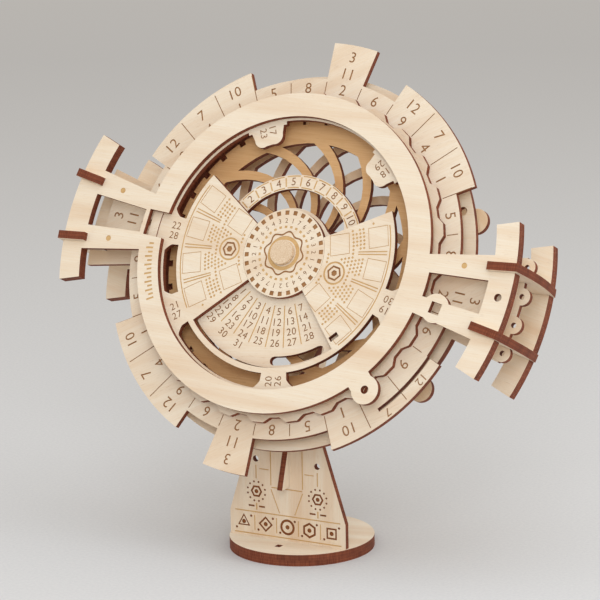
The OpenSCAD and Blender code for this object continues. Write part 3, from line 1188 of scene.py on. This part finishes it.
@dataclass(frozen=True)
class Lamp:
    """A soft square lamp: where it hangs, its side in metres and its power in watts."""

    name: str
    at: Triple
    size: float
    power: float
    colour: Triple = (0.95, 0.98, 1.0)
    target: Triple = (0.0, 0.0, 0.09)

    def hang(self) -> None:
        """Hangs the lamp and points it at the middle of the object."""
        light = bpy.data.lights.new(self.name, "AREA")
        light.shape, light.size, light.energy = "SQUARE", self.size, self.power
        light.color = self.colour
        lamp = new_object(self.name, light)
        lamp.location = self.at
        towards = Vector(self.target) - Vector(self.at)
        lamp.rotation_euler = towards.to_track_quat("-Z", "Y").to_euler()


@dataclass
class Studio:
    """Pale floor, soft lamps, surround and camera, in metres and degrees."""

    lamps: tuple[Lamp, ...] = (
        Lamp("key", (0.45, -0.75, 0.8), 0.5, 0.3),
        Lamp("top", (0.15, -0.2, 1.0), 0.8, 2.3),
        Lamp("side", (0.9, 0.1, 0.5), 0.6, 2.5),
        Lamp("left", (-0.6, -0.65, 0.9), 0.6, 0.3),
        Lamp("front", (0.5, -0.93, 0.64), 0.5, 3.8),
    )
    # the floor: its radius, the two tones of its speckle, and its paler far part
    floor_radius: float = 9.0
    floor_sides: int = 64
    speck_scale: float = 900.0
    speck_span: Pair = (0.3, 0.7)
    speck_bump: float = 0.02
    floor_tones: tuple[Colour, Colour] = (srgb(218, 220, 223), srgb(212, 214, 218))
    floor_far: Colour = srgb(248, 249, 250)
    far_span: Pair = (1.3, 4.0)
    floor_roughness: float = 0.9
    # what the camera sees behind the floor, and what lights the object
    surround: Colour = srgb(243, 243, 242)
    fill: Colour = (1.0, 0.93, 0.84, 1.0)
    fill_strength: float = 0.64
    # the camera: its angles about the pivot, its distance and slide, and the point it aims at
    yaw: float = 27.804
    pitch: float = 11.672
    roll: float = -0.684
    distance: float = 0.970036
    slide: Pair = (0.030363, 0.00959)
    pivot: Triple = (0.0, 0.0, 0.09)
    aim: Triple = (0.002, -0.002, 0.087)
    lens: float = 172.0
    sensor: float = 36.0
    clip: Pair = (0.01, 50.0)

    def build(self) -> None:
        """Makes the floor, the lamps, the surround and the camera."""
        self._floor()
        for lamp in self.lamps:
            lamp.hang()
        self._world()
        self._camera()
        bpy.context.scene.view_settings.view_transform = "Standard"
        log.info("studio built")

    def _floor(self) -> None:
        """Lays a wide pale floor."""
        mesh = bpy.data.meshes.new("floor")
        sides = self.floor_sides
        corners = [(*polar(self.floor_radius, 360 * i / sides), 0) for i in range(sides)]
        mesh.from_pydata(corners, [], [list(range(sides))])
        floor = new_object("floor", mesh)
        n = Nodes("floor_paper")
        at = n.add("TexCoord").outputs["Object"]
        noise = n.add("TexNoise", {"Vector": at, "Scale": self.speck_scale, "Detail": 2.0})
        speck = noise.outputs[0]
        colour = n.mix(n.span(speck, self.speck_span), *self.floor_tones)
        away = n.add("VectorMath", {0: at}, operation="LENGTH").outputs["Value"]
        colour = n.mix(n.span(away, self.far_span), colour, self.floor_far)
        paper = n.finish(colour, self.floor_roughness, speck, self.speck_bump, 0.0)
        mesh.materials.append(paper)

    def _world(self) -> None:
        """Sets an even pale surround for the camera and a warm fill for the object."""
        world = bpy.data.worlds.new("surround")
        world.use_nodes = True
        nodes, links = world.node_tree.nodes, world.node_tree.links
        nodes.clear()
        path = nodes.new("ShaderNodeLightPath")
        either = nodes.new("ShaderNodeMixShader")
        out = nodes.new("ShaderNodeOutputWorld")
        links.new(path.outputs["Is Camera Ray"], either.inputs[0])
        shades = ((self.fill, self.fill_strength), (self.surround, 1.0))
        for slot, (colour, strength) in enumerate(shades, start=1):
            shade = nodes.new("ShaderNodeBackground")
            shade.inputs[0].default_value = colour
            shade.inputs[1].default_value = strength
            links.new(shade.outputs[0], either.inputs[slot])
        links.new(either.outputs[0], out.inputs[0])
        bpy.context.scene.world = world

    def _camera(self) -> None:
        """Sets the camera at its angle and aims it at the middle of the object."""
        yaw, pitch, roll = (math.radians(a) for a in (self.yaw, self.pitch, self.roll))
        back = Vector((
            math.sin(yaw) * math.cos(pitch), -math.cos(yaw) * math.cos(pitch), math.sin(pitch),
        ))
        right = Vector((math.cos(yaw), math.sin(yaw), 0))
        up = back.cross(right)
        tilted_right = right * math.cos(roll) + up * math.sin(roll)
        tilted_up = up * math.cos(roll) - right * math.sin(roll)
        eye = (Vector(self.pivot) + back * self.distance + tilted_right * self.slide[0]
               + tilted_up * self.slide[1])
        away = (eye - Vector(self.aim)).normalized()
        across = tilted_up.cross(away).normalized()
        upright = away.cross(across)
        turn = Matrix((across, upright, away)).transposed().to_4x4()
        data = bpy.data.cameras.new("camera")
        data.lens, data.sensor_width = self.lens, self.sensor
        data.clip_start, data.clip_end = self.clip
        camera = new_object("camera", data)
        camera.matrix_world = Matrix.Translation(eye) @ turn
        bpy.context.scene.camera = camera


def main() -> None:
    """Builds every sub-assembly in order."""
    logging.basicConfig(level=logging.INFO, format="%(name)s: %(message)s")
    for part in (Studio(), Stand(), Cage(), Axle(), Months(), Mask(), Dials(), Wheels()):
        part.build()


if __name__ == "__main__":
    main()
